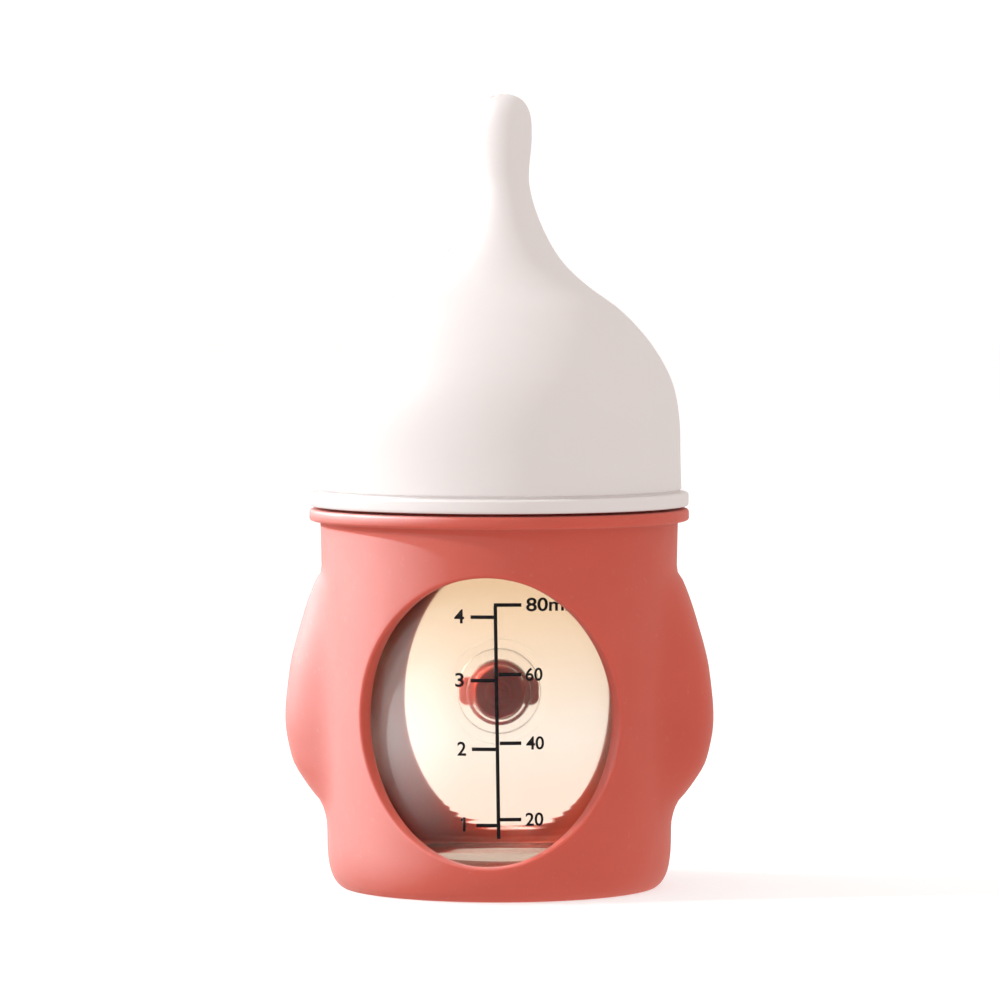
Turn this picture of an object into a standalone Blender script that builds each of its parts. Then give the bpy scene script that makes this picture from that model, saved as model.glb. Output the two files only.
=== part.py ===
"""Small baby bottle in a silicone sleeve, with a dust cap over its teat.

Six separate pieces: silicone_sleeve, bottle_body, vent_plug, teat, screw_collar and dust_cap.
Metres, +Z up. The origin is the centre of the base, on the surface that the bottle stands on.
The front, with the large window and the printed scale, faces -Y. The grips point along X.
"""

import math

import bmesh
import bpy
from mathutils import Matrix, Vector

MM = 0.001

# ---------------------------------------------------------------- driving dimensions, in mm and degrees
GAP = 0.25                 # running gap between two pieces that touch on the real bottle

# sleeve
SLEEVE_R_TOP = 28.42       # outer radius just under the flange
SLEEVE_R_LOW = 27.38       # outer radius just over the base corner
SLEEVE_LOW_Z = 6.0         # height where the base corner starts
SLEEVE_WALL = 2.2
SLEEVE_TOP = 60.85          # top of the low lip inside the flange
FLANGE_TOP = 60.1
INNER_LIP_R = 27.0
FLANGE_R = 30.2
FLANGE_UNDER = 58.2        # underside of the flange
FOOT_R = 25.2              # outer radius of the flat that it stands on
BASE_LIP = 1.6             # thickness of the silicone under the bottle
DRAIN_R = 12.0             # hole in the middle of the base
FRONT_WINDOW = (20.4, 22.5, 28.05)   # half width, half height, centre height
BACK_WINDOW = (19.1, 22.9, 28.5)
GRIP_SPREAD = 16.6         # degrees round the sleeve, from a grip's crest to its flank
GRIP_SHAPE = 3.2           # how square the grip's section is
# height and stand-out of the grip's crest
GRIP_CREST = ((50.5, 0.0), (48.6, 1.07), (42.2, 3.44), (34.2, 5.57), (26.4, 6.38),
              (20.4, 5.45), (15.6, 2.75), (12.9, 0.72), (9.6, 0.0))

# bottle
BOTTLE_TURN = 4.3          # the bottle sits turned this much in the sleeve
BOTTLE_BASE = BASE_LIP + GAP
BOTTLE_R_TOP = SLEEVE_R_TOP - SLEEVE_WALL - GAP
BOTTLE_R_LOW = SLEEVE_R_LOW - SLEEVE_WALL - GAP
BOTTLE_WALL = 1.65
BOTTLE_FLOOR = 1.9         # thickness of the floor
NECK_R = 22.6
MOUTH_R = 20.9
LIP_TOP = 71.5
THREAD_PITCH = 5.0
THREAD_BEAD = 1.05         # radius of the thread's bead
THREAD_START = 64.4
THREAD_TURNS = 1.0

# vent port in the back wall
PORT_Z = 29.1
POCKET_R = 7.0
POCKET_FLOOR = 23.55       # distance of the pocket's floor from the bottle's axis
PORT_RING_R = 5.4
PORT_RING_IN = 20.2
PORT_HOLE_R = 4.4

# collar
COLLAR_R = 27.15
COLLAR_BORE_R = 24.4
COLLAR_BOTTOM = 61.3
COLLAR_TOP = 75.5
COLLAR_PLATE = 1.7
COLLAR_HOLE_R = 17.6

# teat
TEAT_FLANGE_R = 22.2
TEAT_TIP_Z = 99.4
TEAT_HOLE_R = 0.5

# cap
CAP_RIM_R = 30.15
CAP_BOTTOM = 60.55
CAP_RIM_TOP = 62.75
CAP_WALL = 1.5
CAP_SEAT_Z = COLLAR_TOP + GAP
# radius and height along the outside, from the rim up to the tip
CAP_SIDE = ((29.0, 62.9), (28.85, 68.0), (28.72, 73.6), (28.0, 78.6), (26.4, 82.7), (23.4, 87.3),
            (19.2, 91.7), (14.1, 95.45), (9.9, 99.2), (7.0, 103.1), (5.15, 107.2), (4.1, 111.2),
            (4.02, 114.0), (4.38, 117.9), (4.42, 120.4))
CAP_TOP = 125.9


# ---------------------------------------------------------------- helpers
def empty_scene():
    for obj in list(bpy.data.objects):
        bpy.data.objects.remove(obj, do_unlink=True)


def new_collection(name):
    made = bpy.data.collections.new(name)
    bpy.context.scene.collection.children.link(made)
    return made


def finish_of(name, colour, roughness, metallic=0.0, transmission=0.0, alpha=1.0):
    mat = bpy.data.materials.new(name)
    mat.use_nodes = True
    shader = mat.node_tree.nodes["Principled BSDF"]
    shader.inputs["Base Color"].default_value = (*colour, 1.0)
    shader.inputs["Roughness"].default_value = roughness
    shader.inputs["Metallic"].default_value = metallic
    shader.inputs["Transmission Weight"].default_value = transmission
    shader.inputs["Alpha"].default_value = alpha
    return mat


def blend(points, at):
    """Height of a smooth curve through (x, y) points that never overshoots them."""
    pts = sorted(points)
    xs = [p[0] for p in pts]
    ys = [p[1] for p in pts]
    if at <= xs[0]:
        return ys[0]
    if at >= xs[-1]:
        return ys[-1]
    step = [xs[i + 1] - xs[i] for i in range(len(xs) - 1)]
    rise = [(ys[i + 1] - ys[i]) / step[i] for i in range(len(step))]
    slope = [0.0] * len(xs)
    for i in range(1, len(xs) - 1):
        if rise[i - 1] * rise[i] > 0:
            a, b = 2 * step[i] + step[i - 1], step[i] + 2 * step[i - 1]
            slope[i] = (a + b) / (a / rise[i - 1] + b / rise[i])
    i = max(k for k in range(len(step)) if xs[k] <= at)
    t = (at - xs[i]) / step[i]
    return (ys[i] * (1 + 2 * t) * (1 - t) ** 2 + ys[i + 1] * t * t * (3 - 2 * t)
            + slope[i] * step[i] * t * (1 - t) ** 2 + slope[i + 1] * step[i] * t * t * (t - 1))


def through(points, per_span):
    """Points of a smooth curve through the given ones, in order."""
    pts = [Vector((*p, 0.0)) for p in points]
    pts = [2 * pts[0] - pts[1]] + pts + [2 * pts[-1] - pts[-2]]
    found = []
    for i in range(1, len(pts) - 2):
        a, b, c, d = pts[i - 1:i + 3]
        for k in range(per_span):
            t = k / per_span
            p = 0.5 * (2 * b + (c - a) * t + (2 * a - 5 * b + 4 * c - d) * t * t + (3 * b - a - 3 * c + d) * t ** 3)
            found.append((p.x, p.y))
    found.append(tuple(points[-1]))
    return found


def bend(start, pull, end, count):
    """Points of a curve from start to end, drawn towards pull, with both ends."""
    found = []
    for k in range(count + 1):
        t = k / count
        found.append(tuple(a * (1 - t) ** 2 + 2 * b * t * (1 - t) + c * t * t for a, b, c in zip(start, pull, end)))
    return found


def inwards(line, thick):
    """The line moved by thick to its right-hand side, which is inwards for one that runs up an outer wall."""
    found = []
    for i, p in enumerate(line):
        a = line[max(i - 1, 0)]
        b = line[min(i + 1, len(line) - 1)]
        dx, dz = b[0] - a[0], b[1] - a[1]
        size = math.hypot(dx, dz)
        found.append((p[0] - thick * dz / size, p[1] + thick * dx / size))
    return found


def turned(name, profile, steps, collection, closed=False, finish=None):
    """A body turned round Z from a profile in mm, which runs down its outer side."""
    mesh = bpy.data.meshes.new(name)
    shape = bmesh.new()
    verts = [shape.verts.new((r * MM, 0.0, z * MM)) for r, z in profile]
    for a, b in zip(verts, verts[1:]):
        shape.edges.new((a, b))
    if closed:
        shape.edges.new((verts[-1], verts[0]))
    shape.to_mesh(mesh)
    shape.free()
    obj = bpy.data.objects.new(name, mesh)
    collection.objects.link(obj)
    screw = obj.modifiers.new("Turn", "SCREW")
    screw.axis = "Z"
    screw.angle = math.tau
    screw.steps = steps
    screw.render_steps = steps
    screw.use_merge_vertices = True
    screw.merge_threshold = 0.00001
    screw.use_smooth_shade = True
    if finish:
        obj.data.materials.append(finish)
    return obj


def as_mesh(obj):
    """obj with its modifiers made part of its mesh."""
    bpy.context.view_layer.update()
    graph = bpy.context.evaluated_depsgraph_get()
    made = bpy.data.meshes.new_from_object(obj.evaluated_get(graph))
    work = bmesh.new()
    work.from_mesh(made)
    bmesh.ops.remove_doubles(work, verts=work.verts, dist=0.000001)
    bmesh.ops.recalc_face_normals(work, faces=work.faces)
    work.to_mesh(made)
    work.free()
    made.name = obj.name
    obj.modifiers.clear()
    obj.data = made
    return obj


def rod(name, radius, start, end, sides, collection):
    """A round bar along Y from start to end, in mm."""
    mesh = bpy.data.meshes.new(name)
    shape = bmesh.new()
    bmesh.ops.create_cone(shape, cap_ends=True, segments=sides, radius1=radius * MM, radius2=radius * MM,
                          depth=(end - start) * MM)
    bmesh.ops.rotate(shape, verts=shape.verts, cent=(0, 0, 0), matrix=Matrix.Rotation(-math.pi / 2, 3, "X"))
    bmesh.ops.translate(shape, verts=shape.verts, vec=(0, (start + end) / 2 * MM, 0))
    shape.to_mesh(mesh)
    shape.free()
    obj = bpy.data.objects.new(name, mesh)
    collection.objects.link(obj)
    return obj


def helper(obj):
    obj.hide_render = True
    obj.display_type = "WIRE"
    return obj


def boolean(obj, other, operation):
    mod = obj.modifiers.new(f"{operation.title()} {other.name}", "BOOLEAN")
    mod.operation = operation
    mod.object = other
    mod.solver = "EXACT"
    return mod


def thread(name, radius, start, turns, collection):
    """A raised bead along a right-handed helix, thinner at both ends."""
    curve = bpy.data.curves.new(name, "CURVE")
    curve.dimensions = "3D"
    curve.bevel_depth = THREAD_BEAD * MM
    curve.bevel_resolution = 1
    curve.use_fill_caps = True
    spline = curve.splines.new("POLY")
    count = int(32 * turns)
    spline.points.add(count)
    for k, point in enumerate(spline.points):
        t = k / count
        a = math.tau * turns * t
        point.co = (radius * MM * math.cos(a), radius * MM * math.sin(a),
                    (start + THREAD_PITCH * turns * t) * MM, 1.0)
        near_end = min(t, 1 - t) * turns / 0.07
        point.radius = min(1.0, 0.3 + 0.7 * near_end)
    obj = bpy.data.objects.new(name, curve)
    collection.objects.link(obj)
    bpy.context.view_layer.update()
    graph = bpy.context.evaluated_depsgraph_get()
    mesh = bpy.data.meshes.new_from_object(obj.evaluated_get(graph))
    work = bmesh.new()
    work.from_mesh(mesh)
    bmesh.ops.remove_doubles(work, verts=work.verts, dist=0.000001)
    bmesh.ops.recalc_face_normals(work, faces=work.faces)
    work.to_mesh(mesh)
    work.free()
    made = bpy.data.objects.new(name, mesh)
    made.matrix_world = obj.matrix_world.copy()
    bpy.data.objects.remove(obj)
    collection.objects.link(made)
    made.name = name
    return made


def smooth(obj, angle=40):
    obj.data.shade_smooth()
    obj.data.set_sharp_from_angle(angle=math.radians(angle))


# ---------------------------------------------------------------- the sleeve
def sleeve_outer_r(z):
    share = (z - SLEEVE_LOW_Z) / (FLANGE_UNDER - 1.0 - SLEEVE_LOW_Z)
    return SLEEVE_R_LOW + (SLEEVE_R_TOP - SLEEVE_R_LOW) * share


def grip(z, angle):
    """How far the grip stands out of the sleeve at this height and angle from X, in mm."""
    off = abs((math.degrees(angle) + 90) % 180 - 90)
    return blend(GRIP_CREST, z) * math.exp(-(off / GRIP_SPREAD) ** GRIP_SHAPE)


def window_cutter(name, window, side, collection):
    """A plug that widens away from the bottle's axis, so that it cuts the wall square to its surface."""
    half_width, half_height, centre = window
    sides = 60
    mesh = bpy.data.meshes.new(name)
    shape = bmesh.new()
    rings = []
    for reach in (18.0, 24.6, 26.6, 29.0, 38.0):
        ring = []
        for k in range(sides):
            turn = math.tau * (k + 0.5) / sides
            height = centre + half_height * math.sin(turn)
            angle = math.asin(half_width * math.cos(turn) / sleeve_outer_r(height))
            ring.append(shape.verts.new((reach * math.sin(angle) * MM, side * reach * math.cos(angle) * MM,
                                         height * MM)))
        rings.append(ring)
    for near, far in zip(rings, rings[1:]):
        for k in range(sides):
            shape.faces.new((near[k], near[(k + 1) % sides], far[(k + 1) % sides], far[k]))
    for ring in (rings[0], rings[-1]):
        for k in range(sides // 2 - 1):
            low, high = sides - 1 - k, k
            shape.faces.new((ring[high], ring[high + 1], ring[low - 1], ring[low]))
    shape.normal_update()
    bmesh.ops.recalc_face_normals(shape, faces=shape.faces)
    shape.to_mesh(mesh)
    shape.free()
    obj = bpy.data.objects.new(name, mesh)
    collection.objects.link(obj)
    return helper(obj)


def make_sleeve(parts, cutters, finish):
    bore_top = SLEEVE_R_TOP - SLEEVE_WALL
    bore_low = SLEEVE_R_LOW - SLEEVE_WALL
    under = FLANGE_UNDER
    # down the outside
    outer = [(bore_top + 0.25, SLEEVE_TOP), (INNER_LIP_R - 0.2, SLEEVE_TOP), (INNER_LIP_R, SLEEVE_TOP - 0.2),
             (INNER_LIP_R, FLANGE_TOP), (FLANGE_R - 0.45, FLANGE_TOP), (FLANGE_R, FLANGE_TOP - 0.45),
             (FLANGE_R, under + 0.35), (FLANGE_R - 0.4, under), (29.2, under - 0.05), (28.62, under - 0.35),
             (SLEEVE_R_TOP, under - 1.0)]
    for z in (53.5, 50.6, 48.4, 45.2, 41.6, 37.8, 34.0, 30.2, 26.6, 23.4, 20.6, 18.2, 16.0, 14.0, 12.0, 9.6):
        outer.append((sleeve_outer_r(z), z))
    outer += bend((SLEEVE_R_LOW, SLEEVE_LOW_Z), (27.2, 1.2), (FOOT_R, 0.0), 5)
    outer.append((DRAIN_R + 0.3, 0.0))
    outer.append((DRAIN_R, 0.35))
    # up the inside
    inner = [(DRAIN_R, BASE_LIP - 0.3), (DRAIN_R + 0.3, BASE_LIP)]
    inner += bend((FOOT_R - SLEEVE_WALL - 1.6, BASE_LIP), (bore_low - 0.15, BASE_LIP + 0.5), (bore_low, 7.2), 3)
    inner += [(bore_low + (bore_top - bore_low) * 0.5, 32.0), (bore_top, FLANGE_UNDER - 1.0),
              (bore_top, SLEEVE_TOP - 0.25)]
    obj = turned("silicone_sleeve", outer + inner, 60, parts, closed=True, finish=finish)
    as_mesh(obj)
    for v in obj.data.vertices:
        r = math.hypot(v.co.x, v.co.y)
        z = v.co.z / MM
        if r > 26.9 * MM and 9.0 < z < 51.0:
            angle = math.atan2(v.co.y, v.co.x)
            out = r + grip(z, angle) * MM
            v.co.x, v.co.y = out * math.cos(angle), out * math.sin(angle)
    smooth(obj, 35)
    boolean(obj, window_cutter("front_window_cutter", FRONT_WINDOW, -1, cutters), "DIFFERENCE")
    boolean(obj, window_cutter("back_window_cutter", BACK_WINDOW, 1, cutters), "DIFFERENCE")
    return obj


# ---------------------------------------------------------------- the bottle
def make_bottle(parts, cutters, finish, frame):
    base = BOTTLE_BASE
    outer = [(0.0, LIP_TOP), (NECK_R - 0.4, LIP_TOP), (NECK_R, LIP_TOP - 0.4), (NECK_R, 61.6)]
    outer += bend((NECK_R, 60.9), (NECK_R + 0.3, 60.0), (NECK_R + 1.2, 59.7), 2)
    outer += bend((BOTTLE_R_TOP - 1.5, 59.6), (BOTTLE_R_TOP, 59.3), (BOTTLE_R_TOP, 57.6), 3)
    outer += [(BOTTLE_R_LOW + (BOTTLE_R_TOP - BOTTLE_R_LOW) * 0.5, 32.0)]
    outer += bend((BOTTLE_R_LOW, 7.4), (BOTTLE_R_LOW - 0.15, base + 0.5), (FOOT_R - 4.2, base), 4)
    outer += bend((FOOT_R - 5.4, base), (10.0, base + 0.7), (0.0, base + 0.8), 2)
    body = turned("bottle_body", outer, 48, parts, finish=finish)
    body.parent = frame
    as_mesh(body)

    top, low, wall, floor = BOTTLE_R_TOP, BOTTLE_R_LOW, BOTTLE_WALL, base + BOTTLE_FLOOR
    inner = [(0.0, LIP_TOP + 4), (MOUTH_R, LIP_TOP + 4), (MOUTH_R, 61.4)]
    inner += bend((MOUTH_R, 60.0), (MOUTH_R + 0.4, 58.0), (MOUTH_R + 1.9, 57.5), 2)
    inner += bend((top - wall - 0.7, 57.0), (top - wall, 56.6), (top - wall, 55.0), 2)
    inner += [(low - wall + (top - low) * 0.5, 32.0)]
    inner += bend((low - wall, 9.0), (low - wall - 0.2, floor + 0.4), (FOOT_R - 6.6, floor), 4)
    inner += bend((FOOT_R - 7.6, floor), (9.0, floor + 0.6), (0.0, floor + 0.7), 2)
    hollow = turned("bottle_hollow_cutter", inner, 48, cutters)
    hollow.parent = frame
    as_mesh(hollow)
    helper(hollow)

    def placed(obj):
        obj.parent = frame
        obj.location = (0, 0, PORT_Z * MM)
        return helper(obj)

    # the wall stays thick behind the pocket, and a ring stands into the bottle round the hole
    boss = placed(rod("port_boss_cutter", 8.6, POCKET_FLOOR - 1.6, 32.0, 28, cutters))
    ring = placed(rod("port_ring_cutter", PORT_RING_R, PORT_RING_IN, 30.0, 24, cutters))
    boolean(hollow, boss, "DIFFERENCE")
    boolean(hollow, ring, "DIFFERENCE")

    bead = thread("neck_thread_cutter", NECK_R + 0.05, THREAD_START, THREAD_TURNS, cutters)
    bead.parent = frame
    helper(bead)
    boolean(body, bead, "UNION")
    boolean(body, hollow, "DIFFERENCE")
    boolean(body, placed(rod("port_pocket_cutter", POCKET_R, POCKET_FLOOR, 32.0, 28, cutters)), "DIFFERENCE")
    boolean(body, placed(rod("port_hole_cutter", PORT_HOLE_R, 14.0, 31.0, 24, cutters)), "DIFFERENCE")
    smooth(body, 35)
    return body


# ---------------------------------------------------------------- the vent plug
def make_vent_plug(parts, cutters, finish, frame):
    """Turned round Y: a stem in the port, a thin head with two tabs in the pocket, and a ring round a thin skin."""
    seat = POCKET_FLOOR + GAP * 0.8
    head = seat + 0.75
    inside = PORT_RING_IN - 0.2
    stem = PORT_HOLE_R - GAP
    # along +Z here, and then laid along +Y: the bottom of this profile is inside the bottle
    profile = [(0.0, inside + 1.0), (1.4, inside + 1.0), (1.5, seat - 0.6), (1.6, head + 0.25), (3.4, head + 0.25),
               (4.3, head), (5.2, head), (5.2, seat), (stem, seat), (stem, inside + 0.5), (stem - 0.45, inside),
               (2.45, inside), (2.3, inside - 0.55), (1.55, inside - 0.55), (1.35, inside + 0.15),
               (0.65, inside + 0.2), (0.6, inside + 0.5), (0.0, inside + 0.5)]
    obj = turned("vent_plug", profile, 24, parts, closed=False, finish=finish)
    as_mesh(obj)
    obj.data.transform(Matrix.Rotation(-math.pi / 2, 4, "X"))
    obj.parent = frame
    obj.location = (0, 0, PORT_Z * MM)

    # each tab is a flat pill along X, trimmed to the pocket's round outline
    for side in (-1, 1):
        mesh = bpy.data.meshes.new("tab")
        shape = bmesh.new()
        bmesh.ops.create_cube(shape, size=1.0)
        bmesh.ops.scale(shape, verts=shape.verts, vec=(3.4 * MM, 0.7 * MM, 4.6 * MM))
        bmesh.ops.translate(shape, verts=shape.verts, vec=(side * 5.0 * MM, (seat + 0.38) * MM, 0))
        upright = [e for e in shape.edges
                   if abs(e.verts[0].co.y - e.verts[1].co.y) > 0.5 * MM and side * e.verts[0].co.x > 6 * MM]
        bmesh.ops.bevel(shape, geom=upright, offset=1.4 * MM, segments=4, affect="EDGES", profile=0.5)
        shape.to_mesh(mesh)
        shape.free()
        tab = bpy.data.objects.new(f"plug_tab_cutter_{'left' if side < 0 else 'right'}", mesh)
        cutters.objects.link(tab)
        tab.parent = frame
        tab.location = (0, 0, PORT_Z * MM)
        boolean(obj, helper(tab), "UNION")
    smooth(obj, 35)
    return obj


# ---------------------------------------------------------------- the teat
def make_teat(parts, finish):
    low = LIP_TOP + GAP                    # underside of its flange
    high = COLLAR_TOP - COLLAR_PLATE - GAP  # top of its flange, under the collar's plate
    neck = COLLAR_HOLE_R - GAP
    over = COLLAR_TOP + GAP                # the roll over the collar's plate
    outer = [(TEAT_HOLE_R, TEAT_TIP_Z)]
    outer += bend((1.4, TEAT_TIP_Z), (5.0, TEAT_TIP_Z - 0.1), (5.35, TEAT_TIP_Z - 4.4), 4)
    outer += through(((5.35, 94.0), (5.55, 91.4), (7.1, 88.2), (10.2, 85.2), (14.0, 82.4), (17.0, 79.4),
                      (18.45, 77.0)), 1)
    outer += [(18.5, over + 0.25), (18.2, over), (neck, over - 0.05), (neck, high + 0.05),
              (TEAT_FLANGE_R - 0.25, high), (TEAT_FLANGE_R, high - 0.25), (TEAT_FLANGE_R, low + 0.25),
              (TEAT_FLANGE_R - 0.25, low)]
    inner = [(16.0, low), (15.6, low + 0.4), (15.7, 75.4)]
    inner += through(((16.1, 77.0), (15.3, 79.0), (12.6, 81.6), (9.0, 84.2), (6.1, 86.8), (4.3, 90.0), (4.0, 93.4)), 1)
    inner += bend((4.0, TEAT_TIP_Z - 4.6), (3.8, TEAT_TIP_Z - 1.6), (1.2, TEAT_TIP_Z - 1.5), 3)
    inner += [(TEAT_HOLE_R, TEAT_TIP_Z - 1.4)]
    obj = turned("teat", outer + inner, 36, parts, closed=True, finish=finish)
    as_mesh(obj)
    smooth(obj, 35)
    return obj


# ---------------------------------------------------------------- the collar
def make_collar(parts, cutters, finish):
    plate = COLLAR_TOP - COLLAR_PLATE
    outer = [(COLLAR_HOLE_R + 0.3, COLLAR_TOP), (COLLAR_R - 1.0, COLLAR_TOP), (COLLAR_R - 0.3, COLLAR_TOP - 0.3),
             (COLLAR_R, COLLAR_TOP - 1.0), (COLLAR_R, COLLAR_BOTTOM + 0.4), (COLLAR_R - 0.4, COLLAR_BOTTOM),
             (COLLAR_BORE_R + 0.6, COLLAR_BOTTOM), (COLLAR_BORE_R, COLLAR_BOTTOM + 0.6),
             (COLLAR_BORE_R, plate - 0.5), (COLLAR_BORE_R - 0.5, plate), (COLLAR_HOLE_R + 0.3, plate),
             (COLLAR_HOLE_R, plate + 0.3), (COLLAR_HOLE_R, COLLAR_TOP - 0.3)]
    obj = turned("screw_collar", outer, 48, parts, closed=True, finish=finish)
    as_mesh(obj)
    bead = thread("collar_thread_cutter", COLLAR_BORE_R - 0.05, THREAD_START - THREAD_PITCH / 2, 0.9, cutters)
    helper(bead)
    bead.rotation_euler.z = math.radians(BOTTLE_TURN)
    boolean(obj, bead, "UNION")
    smooth(obj, 35)
    return obj


# ---------------------------------------------------------------- the cap
def make_cap(parts, finish):
    side = list(CAP_SIDE)
    tip = bend(CAP_SIDE[-1], (4.45, CAP_TOP - 0.1), (0.0, CAP_TOP), 4)[1:]
    up = side + tip
    outer = list(reversed(up))
    outer += [(29.4, CAP_RIM_TOP + 0.02), (CAP_RIM_R - 0.35, CAP_RIM_TOP - 0.1), (CAP_RIM_R, CAP_RIM_TOP - 0.5),
              (CAP_RIM_R, CAP_BOTTOM + 0.35), (CAP_RIM_R - 0.35, CAP_BOTTOM)]
    bore = COLLAR_R + GAP + 0.1
    inner = [(bore + 0.4, CAP_BOTTOM), (bore, CAP_BOTTOM + 0.4), (bore, CAP_SEAT_Z), (bore - 1.5, CAP_SEAT_Z + 0.1)]
    high = [p for p in up if p[1] > 79.5 and p[0] > 0.0]
    moved = [p for p in inwards(high, CAP_WALL) if p[0] > 0.3 and p[1] < CAP_TOP - CAP_WALL - 0.25]
    inner += moved[::1] + [(0.0, CAP_TOP - CAP_WALL)]
    obj = turned("dust_cap", outer + inner, 48, parts, finish=finish)
    as_mesh(obj)
    smooth(obj, 35)
    return obj


def main():
    empty_scene()
    parts = new_collection("baby_bottle")
    cutters = new_collection("cutters")
    coral = finish_of("coral_silicone", (0.69, 0.20, 0.155), 0.55)
    clear = finish_of("clear_plastic", (0.97, 0.90, 0.80), 0.06, transmission=1.0, alpha=0.4)
    white = finish_of("white_plastic", (0.86, 0.85, 0.84), 0.42)
    milky = finish_of("milky_silicone", (0.90, 0.88, 0.85), 0.35, transmission=0.4)

    frame = bpy.data.objects.new("bottle_frame", None)
    parts.objects.link(frame)
    frame.rotation_euler.z = math.radians(BOTTLE_TURN)

    make_sleeve(parts, cutters, coral)
    make_bottle(parts, cutters, clear, frame)
    make_vent_plug(parts, cutters, coral, frame)
    make_teat(parts, milky)
    make_collar(parts, cutters, white)
    make_cap(parts, white)
    bpy.context.view_layer.update()


main()
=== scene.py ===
"""Looks of a small baby bottle in a silicone sleeve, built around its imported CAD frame.

Lengths in the builders are in mm. The bottle, its scale and its plug sit turned a little in the sleeve.
"""
import math

import bmesh
import bpy
from mathutils import Matrix, Vector


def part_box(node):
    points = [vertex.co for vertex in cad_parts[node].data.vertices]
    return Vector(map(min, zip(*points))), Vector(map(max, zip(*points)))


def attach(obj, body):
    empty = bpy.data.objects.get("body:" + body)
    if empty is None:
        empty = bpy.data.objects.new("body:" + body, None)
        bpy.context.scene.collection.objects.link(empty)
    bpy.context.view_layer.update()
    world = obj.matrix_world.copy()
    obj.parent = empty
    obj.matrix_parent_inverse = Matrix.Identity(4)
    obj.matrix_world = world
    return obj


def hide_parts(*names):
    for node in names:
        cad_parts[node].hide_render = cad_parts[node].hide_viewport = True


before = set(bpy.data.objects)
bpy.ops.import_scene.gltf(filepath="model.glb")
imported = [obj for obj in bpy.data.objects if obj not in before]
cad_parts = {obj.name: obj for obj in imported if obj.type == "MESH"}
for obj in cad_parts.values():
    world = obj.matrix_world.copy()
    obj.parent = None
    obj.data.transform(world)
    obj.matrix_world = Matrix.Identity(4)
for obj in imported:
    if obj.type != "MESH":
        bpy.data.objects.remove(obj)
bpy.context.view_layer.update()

MM = 0.001
BOTTLE_TURN = 4.3

# heights and radii that the CAD nodes give
SLEEVE_LOW, SLEEVE_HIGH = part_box("silicone_sleeve")
CAP_LOW, CAP_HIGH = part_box("dust_cap")
COLLAR_LOW, COLLAR_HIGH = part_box("screw_collar")
TEAT_LOW, TEAT_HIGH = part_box("teat")
BOTTLE_LOW, BOTTLE_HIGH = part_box("bottle_body")
SLEEVE_TOP = SLEEVE_HIGH[2] / MM      # top of the low lip inside the flange
FLANGE_R = SLEEVE_HIGH[1] / MM
CAP_BOTTOM = CAP_LOW[2] / MM
CAP_TOP = CAP_HIGH[2] / MM
CAP_RIM_R = CAP_HIGH[0] / MM
COLLAR_BOTTOM = COLLAR_LOW[2] / MM
COLLAR_TOP = COLLAR_HIGH[2] / MM
COLLAR_R = COLLAR_HIGH[0] / MM
LIP_TOP = BOTTLE_HIGH[2] / MM
TEAT_TIP_Z = TEAT_HIGH[2] / MM

SLEEVE_R_TOP, SLEEVE_R_LOW, SLEEVE_LOW_Z = 28.42, 27.38, 6.0
SLEEVE_WALL, FLANGE_UNDER, FLANGE_TOP, INNER_LIP_R = 2.2, 58.2, 60.1, 27.0
FOOT_R, BASE_LIP, DRAIN_R = 25.2, 1.6, 12.0
FRONT_WINDOW = (20.4, 22.5, 28.05)
BACK_WINDOW = (19.1, 22.9, 28.5)
GRIP_SPREAD, GRIP_SHAPE = 16.6, 3.2
GRIP_CREST = ((50.5, 0.0), (48.6, 1.07), (42.2, 3.44), (34.2, 5.57), (26.4, 6.38),
              (20.4, 5.45), (15.6, 2.75), (12.9, 0.72), (9.6, 0.0))
GAP = 0.25
BOTTLE_BASE = BASE_LIP + GAP
BOTTLE_R_TOP = SLEEVE_R_TOP - SLEEVE_WALL - GAP
BOTTLE_R_LOW = SLEEVE_R_LOW - SLEEVE_WALL - GAP
BOTTLE_WALL, BOTTLE_FLOOR, NECK_R, MOUTH_R = 1.65, 1.9, 22.6, 20.9
THREAD_PITCH, THREAD_BEAD, THREAD_START, THREAD_TURNS = 5.0, 1.05, 64.4, 1.0
PORT_Z, POCKET_R, POCKET_FLOOR, PORT_RING_R, PORT_RING_IN, PORT_HOLE_R = 29.1, 7.0, 23.55, 5.4, 20.2, 4.4
COLLAR_BORE_R, COLLAR_PLATE, COLLAR_HOLE_R = 24.4, 1.7, 17.6
TEAT_FLANGE_R, TEAT_HOLE_R = 22.2, 0.5
CAP_RIM_TOP, CAP_WALL = 62.75, 1.5
CAP_SIDE = ((29.0, 62.9), (28.85, 68.0), (28.72, 73.6), (28.0, 78.6), (26.4, 82.7), (23.4, 87.3),
            (19.2, 91.7), (14.1, 95.45), (9.9, 99.2), (7.0, 103.1), (5.15, 107.2), (4.1, 111.2),
            (4.02, 114.0), (4.38, 117.9), (4.42, 120.4))
CAP_LEAN = 0.75            # the cap's tip stands this far to the right of its axis


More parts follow.
